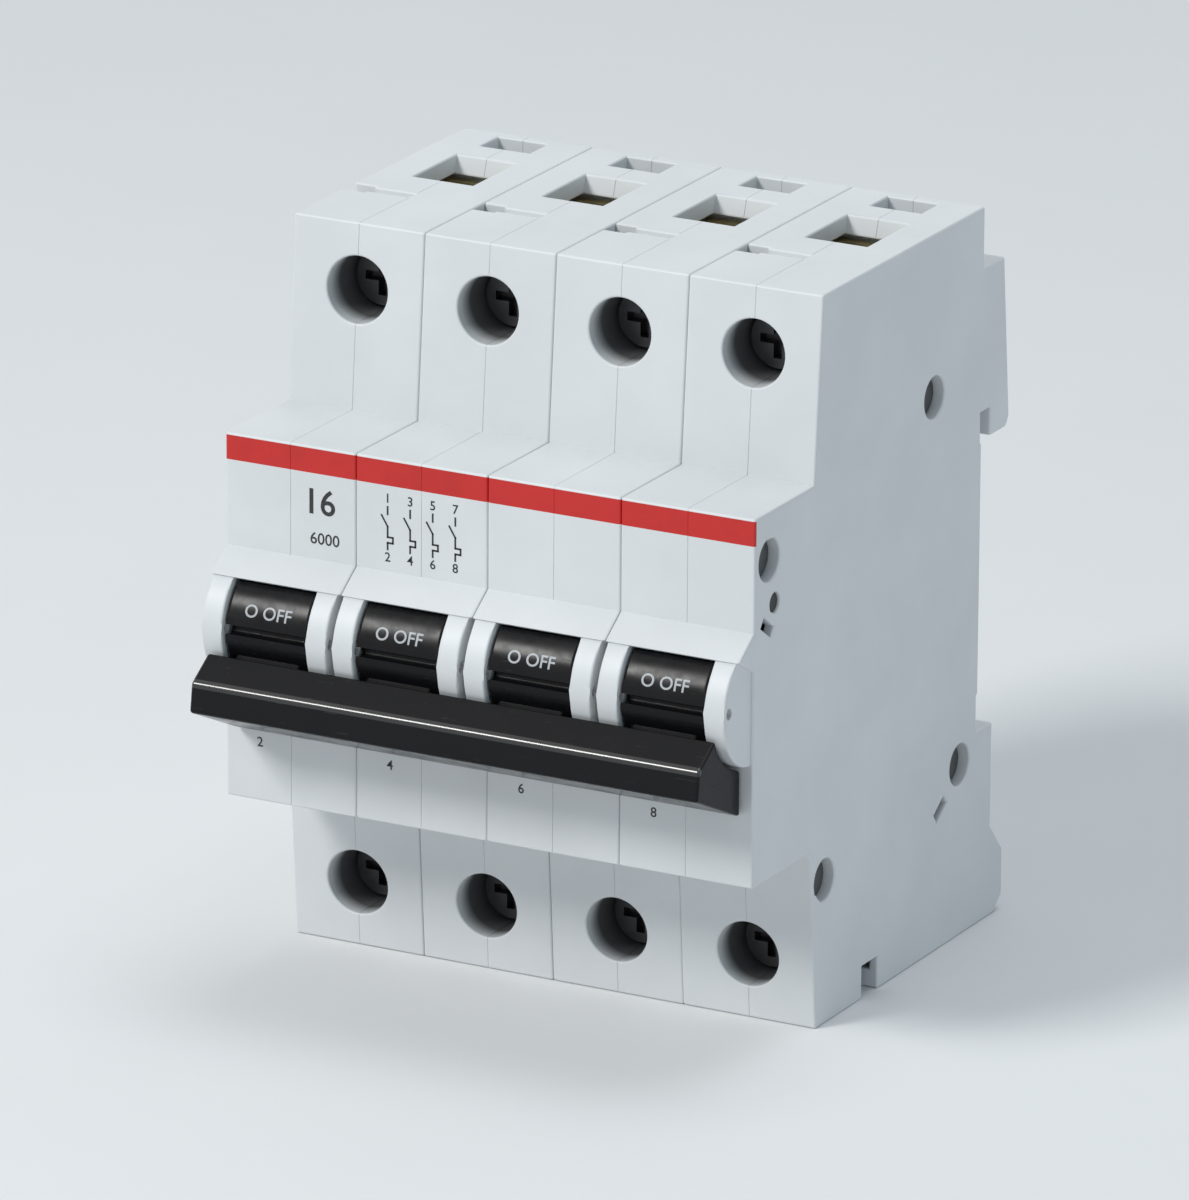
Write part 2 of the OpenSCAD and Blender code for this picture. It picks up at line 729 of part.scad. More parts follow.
terminal_screw(3, 1);  // top_screw_3
terminal_screw(4, 1);  // top_screw_4
terminal_screw(1, -1);  // bottom_screw_1
terminal_screw(2, -1);  // bottom_screw_2
terminal_screw(3, -1);  // bottom_screw_3
terminal_screw(4, -1);  // bottom_screw_4
lift_cage(1, 1);  // top_cage_1
lift_cage(2, 1);  // top_cage_2
lift_cage(3, 1);  // top_cage_3
lift_cage(4, 1);  // top_cage_4
lift_cage(1, -1);  // bottom_cage_1
lift_cage(2, -1);  // bottom_cage_2
lift_cage(3, -1);  // bottom_cage_3
lift_cage(4, -1);  // bottom_cage_4
rail_clip(1);  // rail_clip_1
rail_clip(2);  // rail_clip_2
rail_clip(3);  // rail_clip_3
rail_clip(4);  // rail_clip_4
clip_springs();
case_rivets();
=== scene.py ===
"""Looks of a four-pole modular circuit breaker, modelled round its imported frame, in metres."""

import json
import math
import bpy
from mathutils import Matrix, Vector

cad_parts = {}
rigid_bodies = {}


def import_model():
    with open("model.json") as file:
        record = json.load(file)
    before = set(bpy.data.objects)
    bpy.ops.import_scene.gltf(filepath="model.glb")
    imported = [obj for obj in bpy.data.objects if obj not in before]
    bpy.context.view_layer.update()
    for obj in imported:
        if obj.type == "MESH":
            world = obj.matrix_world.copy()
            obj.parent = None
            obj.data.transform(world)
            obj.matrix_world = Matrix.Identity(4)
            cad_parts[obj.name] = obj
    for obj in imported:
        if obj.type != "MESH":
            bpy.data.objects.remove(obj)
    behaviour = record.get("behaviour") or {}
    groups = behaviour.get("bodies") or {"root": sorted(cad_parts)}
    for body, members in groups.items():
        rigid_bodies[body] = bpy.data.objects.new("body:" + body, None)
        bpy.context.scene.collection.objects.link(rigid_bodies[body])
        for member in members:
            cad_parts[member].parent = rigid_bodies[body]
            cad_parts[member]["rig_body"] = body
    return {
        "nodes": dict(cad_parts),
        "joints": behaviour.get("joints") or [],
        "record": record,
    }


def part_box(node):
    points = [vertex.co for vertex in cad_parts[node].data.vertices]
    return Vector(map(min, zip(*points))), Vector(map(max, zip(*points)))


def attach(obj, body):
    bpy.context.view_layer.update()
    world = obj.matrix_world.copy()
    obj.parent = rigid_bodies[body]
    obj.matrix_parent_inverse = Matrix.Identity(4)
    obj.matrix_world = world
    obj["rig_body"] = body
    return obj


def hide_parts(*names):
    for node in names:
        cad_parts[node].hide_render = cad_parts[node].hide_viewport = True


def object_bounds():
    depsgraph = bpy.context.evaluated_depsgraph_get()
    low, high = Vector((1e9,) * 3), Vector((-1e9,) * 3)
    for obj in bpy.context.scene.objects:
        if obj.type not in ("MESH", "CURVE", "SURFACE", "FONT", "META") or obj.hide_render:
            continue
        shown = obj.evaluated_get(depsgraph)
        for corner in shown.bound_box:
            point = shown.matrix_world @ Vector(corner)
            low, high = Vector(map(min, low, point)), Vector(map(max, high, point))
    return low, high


bl_info = {
    "name": "Modular circuit breaker",
    "version": (1, 0, 0),
    "blender": (4, 5, 0),
    "location": "3D View > Sidebar > Breaker",
    "description": "Finishes, prints and stage for a modular circuit breaker",
    "category": "Object",
}

import bmesh
import bpy
from bpy.props import FloatProperty, FloatVectorProperty, PointerProperty, StringProperty
from mathutils import Matrix, Vector
from mathutils.geometry import intersect_line_line_2d, intersect_point_line

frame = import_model()

MM = 0.001
CAD_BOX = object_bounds()
POLES = (1, 2, 3, 4)
HANDS = ("left", "right")
NODES = frame["nodes"]
JOINTS = {joint["name"]: joint for joint in frame["joints"]}

CASE_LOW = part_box("pole_1_left_case")[0]
CASE_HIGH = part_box("pole_4_right_case")[1]
POLE_W = (CASE_HIGH.x - CASE_LOW.x) / len(POLES)
PIVOT = Vector(JOINTS["toggle_swing"]["pos_m"])
NOSE_Y = PIVOT.y - 1 * MM  # front face of the nose
DRUM_R = 7 * MM  # radius of the toggles' drums
OUTER_Y = -41.9 * MM  # front face round the access holes
SHELF_Y = -33.5 * MM  # shoulder that the screw heads rest on
SCREW_Z = 36.9 * MM  # height of the screws above and below the middle
ACCESS_R = 4.05 * MM  # radius of the access holes
BAR_EDGE = (-69.29 * MM, -5.1 * MM)  # y and z of the bar's upper front edge

WELD = 0.002 * MM  # points nearer than this are one
SEAM_REACH = 0.02 * MM  # points nearer than this to the plane of a seam lie in it
FLAT_ANGLE = math.radians(0.5)  # faces that meet at less are one flat face
SHARP_ANGLE = math.radians(28)  # edges that turn by more are rounded
SMOOTH_ANGLE = math.radians(50)  # faces that meet at less are shaded as one surface
LONG_EDGE = 12 * MM  # edges longer than this always keep their rounding
MARK_THICK = 0.04 * MM
MARKS = (("O OFF", 24), ("I ON", -110))  # word, and degrees round the drum from its front


def pole_x(i):
    """Middle of a pole."""
    return (i - (len(POLES) + 1) / 2) * POLE_W


# ---------------------------------------------------------------- settings


def colour_property(name, description, default):
    return FloatVectorProperty(
        name=name, description=description, subtype="COLOR", size=3, min=0, max=1, default=default
    )


def length_property(name, description, default):
    return FloatProperty(name=name, description=description, unit="LENGTH", min=0, default=default)


class CaseSettings(bpy.types.PropertyGroup):
    colour: colour_property("Colour", "Colour of the moulded shells", (0.70, 0.715, 0.73))
    stripe: colour_property("Stripe", "Colour of the stripe across the nose", (0.55, 0.012, 0.008))
    stripe_low: length_property("Stripe foot", "Height of the stripe's lower edge", 19.2 * MM)
    stripe_high: length_property("Stripe top", "Height of the stripe's upper edge", 22.2 * MM)
    edge: length_property("Edge radius", "Radius of the moulded edges", 0.30 * MM)
    seam: FloatProperty(
        name="Seam", description="Share of the edge radius along the seam of a pole",
        subtype="FACTOR", min=0, max=1, default=0.3,
    )


class ToggleSettings(bpy.types.PropertyGroup):
    colour: colour_property("Colour", "Colour of toggles and tie bar", (0.006, 0.006, 0.007))
    mark: colour_property("Mark", "Colour of the marks on the toggles", (0.42, 0.44, 0.46))
    edge: length_property("Edge radius", "Radius of the toggles' edges", 0.35 * MM)


class PrintSettings(bpy.types.PropertyGroup):
    ink: colour_property("Ink", "Colour of the prints on the nose", (0.012, 0.012, 0.014))
    rating: StringProperty(name="Rating", description="Number on the first pole", default="16")
    depth: length_property("Thickness", "Thickness of the ink", 0.03 * MM)


class StageSettings(bpy.types.PropertyGroup):
    floor: colour_property("Floor", "Colour of the floor", (0.80, 0.80, 0.81))
    azimuth: FloatProperty(
        name="Azimuth", description="Camera's turn to the right of the front",
        subtype="ANGLE", default=0.48948,
    )
    elevation: FloatProperty(
        name="Elevation", description="Camera's height as an angle",
        subtype="ANGLE", default=0.31607,
    )
    roll: FloatProperty(
        name="Roll", description="Camera's turn about its own axis",
        subtype="ANGLE", default=0.0053,
    )
    distance: length_property("Distance", "From the camera to its target", 1.4916)
    lens: FloatProperty(name="Lens", description="Focal length in mm", default=374.7, min=1)


# ---------------------------------------------------------------- shader maths


class Socket:
    """Wraps a node's output so that Python operators add Math nodes."""

    def __init__(self, nodes, socket):
        self.nodes = nodes
        self.socket = socket

    def math(self, operation, *values):
        return self.nodes.make("ShaderNodeMath", {"operation": operation}, self, *values)

    def __add__(self, other):
        return self.math("ADD", other)

    def __radd__(self, other):
        return self.math("ADD", other)

    def __sub__(self, other):
        return self.math("SUBTRACT", other)

    def __rsub__(self, other):
        return self.nodes.make("ShaderNodeMath", {"operation": "SUBTRACT"}, other, self)

    def __mul__(self, other):
        return self.math("MULTIPLY", other)

    def __rmul__(self, other):
        return self.math("MULTIPLY", other)

    def __gt__(self, other):
        return self.math("GREATER_THAN", other)

    def __lt__(self, other):
        return self.math("LESS_THAN", other)


class Nodes:
    """A node tree, with one method that makes any node in it."""

    def __init__(self, tree):
        self.tree = tree

    def make(self, kind, settings, *values, output=0, **named):
        """Adds a node, sets it up, joins its inputs (None leaves one out) and returns an output."""
        node = self.tree.nodes.new(kind)
        for key, value in settings.items():
            if key == "stops":
                self.set_stops(node.color_ramp, value)
            else:
                setattr(node, key, value)
        for key, value in [*enumerate(values), *named.items()]:
            if value is not None:
                self.join(node.inputs[key], value)
        return Socket(self, node.outputs[output])

    def set_stops(self, ramp, stops):
        while len(ramp.elements) < len(stops):
            ramp.elements.new(1)
        for element, (place, tone) in zip(ramp.elements, stops):
            element.position = place
            element.color = (tone, tone, tone, 1)

    def join(self, socket, value):
        if isinstance(value, Socket):
            self.tree.links.new(value.socket, socket)
        elif socket.type == "RGBA" and len(value) == 3:
            socket.default_value = (*value, 1)
        else:
            socket.default_value = value


class Shader(Nodes):
    """One material: patterns for its Principled shader, in Object coordinates."""

    def __init__(self, name):
        self.material = bpy.data.materials.new(name)
        self.material.use_nodes = True
        super().__init__(self.material.node_tree)
        self.surface = self.tree.nodes["Principled BSDF"]

    def place(self):
        return self.make("ShaderNodeTexCoord", {}, output="Object")

    def along(self, axis):
        """Object coordinate along one axis."""
        return self.make("ShaderNodeSeparateXYZ", {}, self.place(), output=axis)

    def stretched(self, scale):
        """Object coordinates with a scale of their own along each axis."""
        return self.make("ShaderNodeMapping", {}, self.place(), Scale=scale)

    def noise(self, scale, detail=2, roughness=0.5, place=None):
        return self.make(
            "ShaderNodeTexNoise", {}, Vector=place or self.place(), Scale=scale, Detail=detail,
            Roughness=roughness,
        )

    def ramp(self, value, low, high, from_tone=0.0, to_tone=1.0):
        stops = [(low, from_tone), (high, to_tone)]
        return self.make("ShaderNodeValToRGB", {"stops": stops}, value)

    def mix(self, factor, first, second):
        """Mixes two colours, whose inputs come after the five for numbers and vectors."""
        others = (None,) * 5
        return self.make(
            "ShaderNodeMix", {"data_type": "RGBA"}, factor, *others, first, second, output=2
        )

    def bump(self, height, strength, distance):
        return self.make("ShaderNodeBump", {}, Height=height, Strength=strength, Distance=distance)

    def set(self, **sockets):
        for name, value in sockets.items():
            self.join(self.surface.inputs[name.replace("_", " ")], value)
        return self.material


# ---------------------------------------------------------------- materials


def access_hole_walls(shader, depth, height):
    """Mask of painted shade on the walls of the screw access holes, from their rims inwards."""
    across = (shader.along("X") * (1 / POLE_W)).math("FRACT") - 0.5
    across = across * POLE_W
    height = height.math("ABSOLUTE") - SCREW_Z
    radius = (across * across + height * height).math("SQRT")
    rim, dark = OUTER_Y + 0.3 * MM, OUTER_Y + 2.6 * MM
    stretch = 20  # a ramp reads 0 to 1, so the depth is stretched and moved into that range
    inwards = shader.ramp(depth * stretch + 1, 1 + stretch * rim, 1 + stretch * dark)
    return inwards * (radius < ACCESS_R + 0.12 * MM) * (depth < SHELF_Y)


def case_material(settings):
    """Light moulded plastic: fine spark texture, faint flow marks, painted shade inside the screw
    access holes, and a printed stripe.
    """
    shader = Shader("case_moulding")
    grain = shader.noise(5200, 2, 0.6)
    flow = shader.noise(60, 3, 0.55)
    handled = shader.ramp(shader.noise(180, 4, 0.6), 0.45, 0.75)
    height, depth = shader.along("Z"), shader.along("Y")
    band = (height > settings.stripe_low) * (height < settings.stripe_high)
    band = band * (depth < NOSE_Y + 0.3 * MM)
    shade = tuple(0.93 * tone for tone in settings.colour)
    body = shader.mix(shader.ramp(flow, 0.35, 0.7), shade, tuple(settings.colour))
    # painted shade: past their rims, the walls of the access holes are darkened to 0.16 of the case
    # colour
    hole_shade_tone = tuple(0.16 * tone for tone in settings.colour)
    body = shader.mix(access_hole_walls(shader, depth, height), body, hole_shade_tone)
    worn = tuple(0.86 * tone for tone in settings.stripe)
    stripe = shader.mix(handled, tuple(settings.stripe), worn)
    return shader.set(
        Base_Color=shader.mix(band, body, stripe),
        Roughness=0.42 + flow * 0.10 + handled * 0.06 - band * 0.12,
        Normal=shader.bump(grain + flow * 0.8, 0.35, 0.02 * MM),
    )


def black_material(name, colour, gloss, scale, edge=None):
    """Black gloss plastic with smudges and fine scuffs, and a polished band along one edge."""
    shader = Shader(name)
    smudge = shader.ramp(shader.noise(scale, 4, 0.6), 0.42, 0.72)
    scuffs = shader.noise(1, 3, 0.7, shader.stretched((260, 2600, 2600)))
    scuff = shader.ramp(scuffs, 0.66, 0.72)
    grey = tuple(tone + 0.030 for tone in colour)
    shader.set(Specular_IOR_Level=0.16)
    if edge:
        depth, height = shader.along("Y") - edge[0], shader.along("Z") - edge[1]
        band = (depth * depth + height * height) < (0.6 * MM) ** 2
        shader.set(Coat_Weight=band, Coat_Roughness=0.18)
    return shader.set(
        Base_Color=shader.mix(scuff * 0.6, colour, grey),
        Roughness=gloss + smudge * 0.16 + scuff * 0.15,
        Normal=shader.bump(shader.noise(900, 3), 0.12, 0.02 * MM),
    )


def ink_material(name, colour):
    """Printed ink, a little uneven."""
    shader = Shader(name)
    wear = shader.ramp(shader.noise(1900, 3, 0.7), 0.35, 0.7)
    lighter = tuple(min(1, 0.86 * tone + 0.02) for tone in colour)
    return shader.set(
        Base_Color=shader.mix(wear, colour, lighter),
        Roughness=0.45 + wear * 0.15,
        Normal=shader.bump(wear, 0.1, 0.01 * MM),
    )


def metal_material(name, colour, rough, brushed=(500, 500, 500), tarnish=0.2):
    """Metal with drawing or rolling marks along one axis, and patches of tarnish."""
    shader = Shader(name)
    lines = shader.noise(1, 4, 0.65, shader.stretched(brushed))
    patch = shader.ramp(shader.noise(240, 4, 0.6), 0.4, 0.7)
    dull = tuple(tone * (1 - tarnish) for tone in colour)
    return shader.set(
        Base_Color=shader.mix(patch, colour, dull),
        Metallic=1.0,
        Roughness=rough + lines * 0.18 + patch * 0.10,
        Normal=shader.bump(lines, 0.25, 0.02 * MM),
    )


def plain_material(name, colour, rough, scale=1500):
    """Dull moulded or pressed board with a fine grain."""
    shader = Shader(name)
    grain = shader.noise(scale, 4, 0.65)
    light = tuple(min(1, 1.25 * tone) for tone in colour)
    return shader.set(
        Base_Color=shader.mix(shader.ramp(grain, 0.3, 0.75), colour, light),
        Roughness=rough + grain * 0.15,
        Normal=shader.bump(grain, 0.3, 0.02 * MM),
    )


def dress(node, material):
    """Gives a CAD node's own mesh a material."""
    for slot in NODES[node].material_slots:
        slot.link = "OBJECT"
        slot.material = material


# ---------------------------------------------------------------- modelling helpers


def deselect():
    if bpy.context.object and bpy.context.object.mode != "OBJECT":
        bpy.ops.object.mode_set(mode="OBJECT")
    bpy.ops.object.select_all(action="DESELECT")


def activate(obj):
    deselect()
    obj.select_set(True)
    bpy.context.view_layer.objects.active = obj


def finish_piece(obj, name, body, material):
    """Names a piece, gives it its material and declares what it rides on."""
    obj.name = name
    obj.data.name = name
    obj.data.materials.clear()
    obj.data.materials.append(material)
    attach(obj, body)
    return obj


def edge_weights(mesh, seam_x, seam_weight):
    """Weights of the outer sharp edges for rounding: finer in the plane of the seam."""
    shape = bmesh.new()
    shape.from_mesh(mesh)
    weights = {}
    for edge in shape.edges:
        sharp = len(edge.link_faces) == 2 and edge.calc_face_angle(0) > SHARP_ANGLE
        if sharp and edge.is_convex:
            in_seam = all(abs(vertex.co.x - seam_x) < SEAM_REACH for vertex in edge.verts)
            weights[edge.index] = seam_weight if in_seam else 1.0
    shape.free()
    return weights


def round_edges(obj, mesh, weights, width, segments):
    """Gives the object a copy of the mesh with its weighted edges rounded."""
    obj.data = mesh.copy()
    layer = obj.data.attributes.new("bevel_weight_edge", "FLOAT", "EDGE")
    for index, weight in weights.items():
        layer.data[index].value = weight
    activate(obj)
    bevel = obj.modifiers.new("edges", "BEVEL")
    bevel.width = width
    bevel.segments = segments
    bevel.limit_method = "WEIGHT"
    bevel.use_clamp_overlap = False
    bpy.ops.object.modifier_apply(modifier=bevel.name)


def folded_faces(mesh):
    """Faces with a triangle turned against them, which comes of an outline that crosses itself."""
    mesh.calc_loop_triangles()
    found = set()
    for triangle in mesh.loop_triangles:
        first, second, third = (mesh.vertices[index].co for index in triangle.vertices)
        normal = (second - first).cross(third - first)
        face = mesh.polygons[triangle.polygon_index]
        if normal.length > 2e-5 * MM * MM and normal.normalized().dot(face.normal) < 0.5:
            found.add(triangle.polygon_index)
    return [mesh.polygons[index] for index in found]


def crossings(mesh, face):
    """Points where the outline of a face crosses itself, or all its corners if none is found."""
    across = face.normal.orthogonal().normalized()
    up = face.normal.cross(across)
    corners = [mesh.vertices[index].co for index in face.vertices]
    flat = [Vector((corner.dot(across), corner.dot(up))) / MM for corner in corners]
    count = len(corners)
    points = []
    for first in range(count):
        for second in range(first + 2, count):
            if (second + 1) % count == first:
                continue
            hit = intersect_line_line_2d(
                flat[first], flat[(first + 1) % count], flat[second], flat[(second + 1) % count]
            )
            if hit:
                level = corners[first].dot(face.normal)
                points.append((across * hit.x + up * hit.y) * MM + face.normal * level)
    return points or corners


def leave_sharp(weights, mesh, points, reach):
    """Takes the rounding off the short edges near the points."""
    for index, weight in weights.items():
        ends = [mesh.vertices[vertex].co for vertex in mesh.edges[index].vertices]
        if not weight or (ends[1] - ends[0]).length > LONG_EDGE:
            continue
        for point in points:
            _, place = intersect_point_line(point, *ends)
            near = ends[0].lerp(ends[1], min(1, max(0, place)))
            if (point - near).length < reach:
                weights[index] = 0.0
                break


def even_normals(mesh):
    """Sets corner normals that keep large faces flat, so that only the rounded strips turn."""
    around = [[] for _ in mesh.vertices]
    for face in mesh.polygons:
        for index in face.vertices:
            around[index].append((face.normal.copy(), (face.area / MM / MM) ** 2))
    limit = math.cos(SMOOTH_ANGLE)
    normals = [None] * len(mesh.loops)
    for face in mesh.polygons:
        for corner in face.loop_indices:
            total = face.normal * 1e-9
            for normal, weight in around[mesh.loops[corner].vertex_index]:
                if normal.dot(face.normal) > limit:
                    total = total + normal * weight
            normals[corner] = total.normalized()
    mesh.normals_split_custom_set(normals)


def softened(node, material, width, segments=2, seam_x=1, seam_weight=1):
    """A copy of a CAD node with rounded edges, which stands for it."""
    name = f"{node}_moulding"
    source = NODES[node]
    obj = bpy.data.objects.new(name, source.data.copy())
    bpy.context.scene.collection.objects.link(obj)
    activate(obj)
    bpy.ops.object.mode_set(mode="EDIT")
    bpy.ops.mesh.select_all(action="SELECT")
    bpy.ops.mesh.remove_doubles(threshold=WELD)
    bpy.ops.mesh.dissolve_limited(angle_limit=FLAT_ANGLE)
    bpy.ops.object.mode_set(mode="OBJECT")
    plain = obj.data
    weights = edge_weights(plain, seam_x, seam_weight)
    for _ in range(10):
        round_edges(obj, plain, weights, width, segments)
        folded = folded_faces(obj.data)
        if not folded:
            break
        points = [point for face in folded for point in crossings(obj.data, face)]
        leave_sharp(weights, plain, points, 1.6 * width)
    else:
        raise RuntimeError(f"{name}: its faces still fold after the rounding")
    bpy.ops.object.shade_smooth()
    even_normals(obj.data)
    finish_piece(obj, name, source["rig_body"], material)
    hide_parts(node)
    return obj


def lettering(text, size, bold, thick):
    """Flat text as a mesh in the XY plane, centred on the origin."""
    deselect()
    bpy.ops.object.text_add(location=(0, 0, 0))
    obj = bpy.context.object
    obj.data.body = text
    obj.data.align_x = "CENTER"
    obj.data.align_y = "CENTER"
    obj.data.size = size
    obj.data.offset = bold
    obj.data.extrude = thick / 2
    obj.data.resolution_u = 4
    bpy.ops.object.convert(target="MESH")
    return bpy.context.object


def joined(objects):
    """Joins separate meshes into the first."""
    deselect()
    for obj in objects:
        obj.select_set(True)
    bpy.context.view_layer.objects.active = objects[0]
    if len(objects) > 1:
        bpy.ops.object.join()
    return bpy.context.object


def onto_front(obj, x, y, z):
    """Stands flat lettering up on a face that looks towards -Y."""
    obj.data.transform(Matrix.Translation((x, y, z)) @ Matrix.Rotation(math.pi / 2, 4, "X"))
    return obj


def round_drum(obj, x, angle, radius):
    """Wraps flat lettering round the drums; angle is how far above the front its middle lies."""
    activate(obj)
    bpy.ops.object.mode_set(mode="EDIT")
    heights = [vertex.co.y for vertex in obj.data.vertices]
    low, high = min(heights), max(heights)
    cuts = 12
    for k in range(1, cuts):
        bpy.ops.mesh.select_all(action="SELECT")
        level = low + (high - low) * k / cuts
        bpy.ops.mesh.bisect(plane_co=(0, level, 0), plane_no=(0, 1, 0))
    bpy.ops.object.mode_set(mode="OBJECT")
    for vertex in obj.data.vertices:
        turn = angle + vertex.co.y / radius
        reach = radius + vertex.co.z
        vertex.co = (
            x + vertex.co.x,
            PIVOT.y - reach * math.cos(turn),
            PIVOT.z + reach * math.sin(turn),
        )
    return obj


def line_block(points, width, thick):
    """A printed line through points of the XY plane, as one flat strip per stretch."""
    strips = []
    for start, end in zip(points, points[1:]):
        start, end = Vector(start), Vector(end)
        span = end - start
        deselect()
        bpy.ops.mesh.primitive_cube_add(size=1)
        strip = bpy.context.object
        strip.data.transform(Matrix.Diagonal((span.length + width, width, thick, 1)))
        strip.data.transform(Matrix.Rotation(math.atan2(span.y, span.x), 4, "Z"))
        middle = (start + end) / 2
        strip.data.transform(Matrix.Translation((middle.x, middle.y, 0)))
        strips.append(strip)
    return joined(strips)


# ---------------------------------------------------------------- pieces


class BREAKER_OT_case(bpy.types.Operator):
    """Moulded shells with rounded edges, and the stripe"""

    bl_idname = "breaker.case"
    bl_label = "Case shells"

    def execute(self, context):
        settings = context.scene.breaker_case
        material = case_material(settings)
        for i in POLES:
            for hand in HANDS:
                softened(
                    f"pole_{i}_{hand}_case", material, settings.edge,
                    seam_x=pole_x(i), seam_weight=settings.seam,
                )
        return {"FINISHED"}


class BREAKER_OT_toggles(bpy.types.Operator):
    """Toggles and tie bar with rounded edges"""

    bl_idname = "breaker.toggles"
    bl_label = "Toggles and tie bar"

    def execute(self, context):
        settings = context.scene.breaker_toggles
        drum = black_material("toggle_black", tuple(settings.colour), 0.22, 300)
        bar = black_material("bar_black", tuple(settings.colour), 0.16, 220, BAR_EDGE)
        for i in POLES:
            softened(f"toggle_{i}", drum, settings.edge, 3)
        softened("tie_bar", bar, settings.edge, 3)
        return {"FINISHED"}


class BREAKER_OT_marks(bpy.types.Operator):
    """OFF and ON marks round the toggle drums"""

    bl_idname = "breaker.marks"
    bl_label = "Toggle marks"

    def execute(self, context):
        settings = context.scene.breaker_toggles
        material = ink_material("mark_ink", tuple(settings.mark))
        for i in POLES:
            for word, angle in MARKS:
                mark = lettering(word, 2.2 * MM, 0.02 * MM, MARK_THICK)
                round_drum(mark, pole_x(i), math.radians(angle), DRUM_R + MARK_THICK / 2)
                name = f"mark_{word.split()[1].lower()}_{i}"
                finish_piece(mark, name, "toggles", material)
        return {"FINISHED"}


class BREAKER_OT_prints(bpy.types.Operator):
    """Plain numbers and a contact diagram on the nose"""

    bl_idname = "breaker.prints"
    bl_label = "Prints"

    def execute(self, context):
        settings = context.scene.breaker_print
        ink = ink_material("print_ink", tuple(settings.ink))
        face_y = NOSE_Y - settings.depth / 2
        pieces = {
            "rating_print": self.rating(settings),
            "diagram_print": self.diagram(settings),
            "terminal_numbers": self.numbers(settings),
        }
        for name, obj in pieces.items():
            onto_front(obj, 0, face_y, 0)
            finish_piece(obj, name, "case", ink)
        return {"FINISHED"}

    def word(self, settings, text, size, bold, x, z):
        """One flat word with its middle at x and z."""
        word = lettering(text, size, bold, settings.depth)
        word.data.transform(Matrix.Translation((x, z, 0)))
        return word

    def rating(self, settings):
        middle = pole_x(1)
        return joined([
            self.word(settings, settings.rating, 4.4 * MM, 0.04 * MM, middle + 3.9 * MM, 15.6 * MM),
            self.word(settings, "6000", 2.0 * MM, 0.01 * MM, middle + 4.6 * MM, 11.2 * MM),
        ])

    def diagram(self, settings):
        """Four contacts, each with its trip element, between terminal numbers."""
        pieces = []
        top, foot, step = 16.6 * MM, 11.4 * MM, 3.0 * MM
        fixed, tip, hinge = top - 0.9 * MM, top - 2.4 * MM, foot + 1.5 * MM
        bend, swing, hook = foot + 0.8 * MM, 0.8 * MM, 0.7 * MM
        for k in range(4):
            x = pole_x(2) + (k - 1.5) * step
            routes = [
                [(x, top), (x, fixed)],
                [(x - swing, top - 1.1 * MM), (x, tip), (x, hinge)],
                [(x, hinge), (x + hook, hinge), (x + hook, bend), (x, bend), (x, foot)],
            ]
            for route in routes:
                pieces.append(line_block(route, 0.22 * MM, settings.depth))
            for number, z in ((2 * k + 1, top + 1.0 * MM), (2 * k + 2, foot - 1.0 * MM)):
                pieces.append(self.word(settings, str(number), 1.6 * MM, 0.01 * MM, x, z))
        return joined(pieces)

    def numbers(self, settings):
        side, height = -4.2 * MM, -15.2 * MM
        return joined([
            self.word(settings, str(2 * i), 1.7 * MM, 0.01 * MM, pole_x(i) + side, height)
            for i in POLES
        ])


class BREAKER_OT_inside(bpy.types.Operator):
    """Finishes of the screws, cages, clips, rivets and the mechanism"""

    bl_idname = "breaker.inside"
    bl_label = "Metal and inner parts"

    def execute(self, context):
        across = (90, 4200, 4200)
        upward = (4200, 4200, 120)
        turned = (1800, 300, 1800)
        woven = (3000, 3000, 3000)
        finishes = {
            "screw_steel": metal_material("screw_black_zinc", (0.10, 0.10, 0.105), 0.30, turned),
            "cage_steel": metal_material("cage_zinc", (0.62, 0.56, 0.36), 0.28, across),
            "spring_steel": metal_material("spring_wire", (0.52, 0.53, 0.54), 0.26),
            "yoke_steel": metal_material("plated_sheet", (0.50, 0.51, 0.52), 0.30, across),
            "rivet_steel": metal_material("rivet_steel_dull", (0.13, 0.135, 0.14), 0.42),
            "plunger_iron": metal_material("turned_iron", (0.32, 0.33, 0.34), 0.30, across),
            "contact_copper": metal_material("rolled_copper", (0.72, 0.34, 0.18), 0.26, upward),
            "braid_copper": metal_material("braided_copper", (0.62, 0.28, 0.14), 0.40, woven),
            "coil_copper": metal_material("enamelled_wire", (0.60, 0.20, 0.07), 0.18),
            "bar_copper": metal_material("tinned_copper", (0.74, 0.52, 0.38), 0.26, upward),
            "bimetal": metal_material("bimetal_strip", (0.52, 0.48, 0.42), 0.30, upward),
            "screw_brass": metal_material("turned_brass", (0.66, 0.46, 0.16), 0.24),
            "clip_plastic": plain_material("clip_moulding", (0.022, 0.022, 0.024), 0.42),
            "inner_plastic": plain_material("inner_moulding", (0.018, 0.018, 0.020), 0.45),
            "cheek_board": plain_material("pressed_board", (0.55, 0.49, 0.36), 0.62, 900),
        }
        for part in frame["record"]["subparts"]:
            if part["material_slot"] in finishes:
                dress(part["node"], finishes[part["material_slot"]])
        return {"FINISHED"}


# ---------------------------------------------------------------- stage


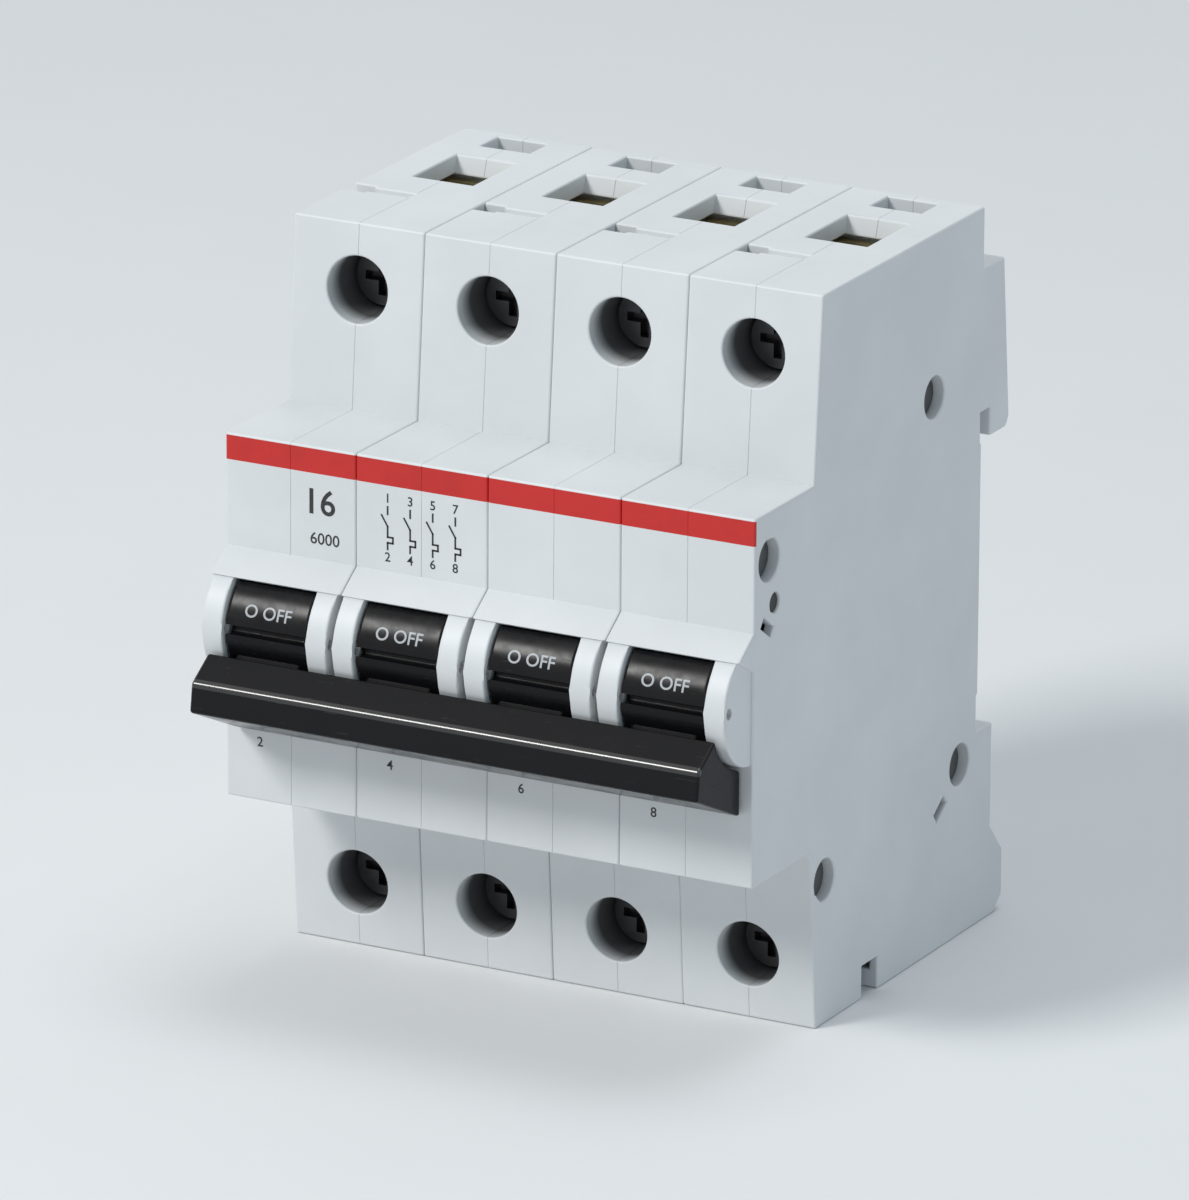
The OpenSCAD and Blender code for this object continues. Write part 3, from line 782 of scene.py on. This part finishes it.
class BREAKER_OT_stage(bpy.types.Operator):
    """Floor, lights, world and camera"""

    bl_idname = "breaker.stage"
    bl_label = "Stage"

    def execute(self, context):
        settings = context.scene.breaker_stage
        self.floor(settings)
        self.lights()
        self.world(context)
        self.camera(context, settings)
        context.scene.view_settings.view_transform = "Standard"
        return {"FINISHED"}

    def floor(self, settings):
        deselect()
        bpy.ops.mesh.primitive_circle_add(
            vertices=96, radius=6, fill_type="NGON", location=(0, 0, CAD_BOX[0][2])
        )
        floor = bpy.context.object
        floor.data.transform(floor.matrix_world)
        floor.matrix_world = Matrix.Identity(4)
        floor.name = "floor"
        shader = Shader("floor_paper")
        patch = shader.noise(30, 3)
        tone = tuple(0.97 * c for c in settings.floor)
        floor.data.materials.append(
            shader.set(Base_Color=shader.mix(patch, tone, tuple(settings.floor)), Roughness=0.8)
        )

    def lights(self):
        """Key from the front left and above, and a soft light over the top."""
        lamps = (
            ("key", (-0.62, -1.05, 0.95), 0.40, 13.6, (1.0, 1.0, 0.975)),
            ("top", (0.10, 0.15, 1.20), 0.60, 3.4, (0.95, 0.985, 1.0)),
            ("side", (1.30, -0.35, 0.35), 0.70, 1.25, (0.62, 0.92, 1.0)),
        )
        target = Vector((0, -30 * MM, 0))
        for name, at, size, power, colour in lamps:
            deselect()
            bpy.ops.object.light_add(type="AREA", location=at)
            lamp = bpy.context.object
            lamp.name = name
            lamp.rotation_euler = (target - Vector(at)).to_track_quat("-Z", "Y").to_euler()
            lamp.data.shape = "SQUARE"
            lamp.data.size = size
            lamp.data.energy = power
            lamp.data.color = colour

    def world(self, context):
        """Soft grey light, with white where the camera looks past the floor."""
        world = bpy.data.worlds.new("studio")
        context.scene.world = world
        world.use_nodes = True
        nodes = Nodes(world.node_tree)
        nodes.tree.nodes.remove(nodes.tree.nodes["Background"])
        soft = nodes.make("ShaderNodeBackground", {}, (0.82, 0.93, 1.0), 0.42)
        white = nodes.make("ShaderNodeBackground", {}, (1, 1, 1), 1)
        seen = nodes.make("ShaderNodeLightPath", {}, output="Is Camera Ray")
        for ray in ("Is Glossy Ray", "Is Transmission Ray"):
            seen = seen.math("MAXIMUM", nodes.make("ShaderNodeLightPath", {}, output=ray))
        blend = nodes.make("ShaderNodeMixShader", {}, seen, soft, white)
        nodes.join(nodes.tree.nodes["World Output"].inputs["Surface"], blend)

    def camera(self, context, settings):
        """Camera at the photograph's angle, aimed at the middle of its picture."""
        turn, rise, roll = settings.azimuth, settings.elevation, settings.roll
        level = math.cos(rise)
        back = Vector((math.sin(turn) * level, -math.cos(turn) * level, math.sin(rise)))
        right = Vector((math.cos(turn), math.sin(turn), 0))
        up = back.cross(right)
        tilted_right = math.cos(roll) * right + math.sin(roll) * up
        tilted_up = math.cos(roll) * up - math.sin(roll) * right
        target = Vector((-6.38, -20.0, -4.74)) * MM
        bpy.ops.object.camera_add()
        camera = bpy.context.object
        axes = Matrix((tilted_right, tilted_up, back)).transposed().to_4x4()
        camera.matrix_world = Matrix.Translation(target + back * settings.distance) @ axes
        camera.name = "camera"
        camera.data.lens = settings.lens
        camera.data.sensor_width = 36
        camera.data.clip_start = 0.05
        context.scene.camera = camera


# ---------------------------------------------------------------- panel and run


PIECE_OPERATORS = (
    BREAKER_OT_case,
    BREAKER_OT_toggles,
    BREAKER_OT_marks,
    BREAKER_OT_prints,
    BREAKER_OT_inside,
    BREAKER_OT_stage,
)
SETTINGS = {
    "breaker_case": CaseSettings,
    "breaker_toggles": ToggleSettings,
    "breaker_print": PrintSettings,
    "breaker_stage": StageSettings,
}


class BREAKER_PT_panel(bpy.types.Panel):
    """Lists the pieces of the circuit breaker"""

    bl_idname = "BREAKER_PT_panel"
    bl_label = "Circuit breaker"
    bl_space_type = "VIEW_3D"
    bl_region_type = "UI"
    bl_category = "Breaker"

    def draw(self, context):
        for operator in PIECE_OPERATORS:
            self.layout.operator(operator.bl_idname)
        for name, group in SETTINGS.items():
            box = self.layout.box()
            for key in group.__annotations__:
                box.prop(getattr(context.scene, name), key)


CLASSES = (*SETTINGS.values(), *PIECE_OPERATORS, BREAKER_PT_panel)


def register():
    for cls in CLASSES:
        bpy.utils.register_class(cls)
    for name, group in SETTINGS.items():
        setattr(bpy.types.Scene, name, PointerProperty(type=group))


def unregister():
    for name in SETTINGS:
        delattr(bpy.types.Scene, name)
    for cls in reversed(CLASSES):
        bpy.utils.unregister_class(cls)


def main():
    register()
    bpy.ops.breaker.stage()
    bpy.ops.breaker.case()
    bpy.ops.breaker.toggles()
    bpy.ops.breaker.marks()
    bpy.ops.breaker.prints()
    bpy.ops.breaker.inside()


if __name__ == "__main__":
    main()
